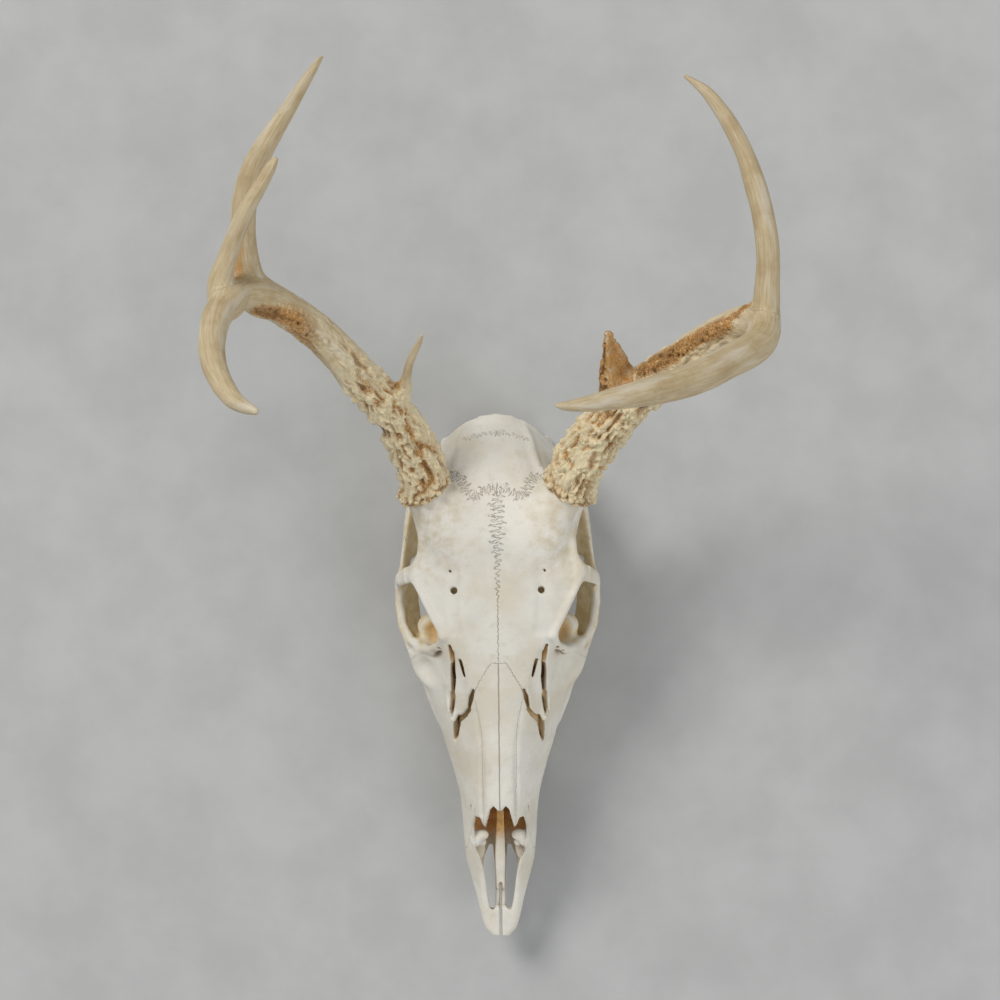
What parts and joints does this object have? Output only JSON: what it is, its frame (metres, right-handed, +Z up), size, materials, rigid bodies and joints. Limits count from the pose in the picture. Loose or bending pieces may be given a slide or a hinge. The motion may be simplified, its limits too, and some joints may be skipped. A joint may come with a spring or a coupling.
{
  "type": "deer skull with antlers",
  "caption": "White-tailed deer buck skull without the lower jaw, with both antlers, lying on its cheek teeth.",
  "frame": {"origin": "middle of the bounding box's base, on the surface the skull lies on", "axes": "+Z up, the nose towards -Y, the back of the head and the antlers towards +Y, the animal's left towards +X"},
  "size_m": [0.2713, 0.4343, 0.3027],
  "materials": {
    "bone": "dry matte ivory bone, faintly mottled",
    "antler_base": "rough pearled antler, cream ridges over brown stain",
    "antler_tine": "smooth beige antler with a fine long grain"
  },
  "bodies": {
    "root": {"premaxilla_left": "bone", "premaxilla_right": "bone", "maxilla_left": "bone", "maxilla_right": "bone", "vomer": "bone", "nasal_left": "bone", "nasal_right": "bone", "frontal_left": "bone", "frontal_right": "bone", "zygomatic_left": "bone", "zygomatic_right": "bone", "parietal": "bone", "occipital": "bone", "temporal_left": "bone", "temporal_right": "bone", "sphenoid": "bone", "antler_left_beam": "antler_base", "antler_left_beam_end": "antler_tine", "antler_left_brow_tine": "antler_base", "antler_left_second_tine": "antler_tine", "antler_right_beam": "antler_base", "antler_right_beam_end": "antler_tine", "antler_right_brow_tine": "antler_base", "antler_right_second_tine": "antler_tine", "antler_right_third_tine": "antler_tine"}
  },
  "joints": []
}
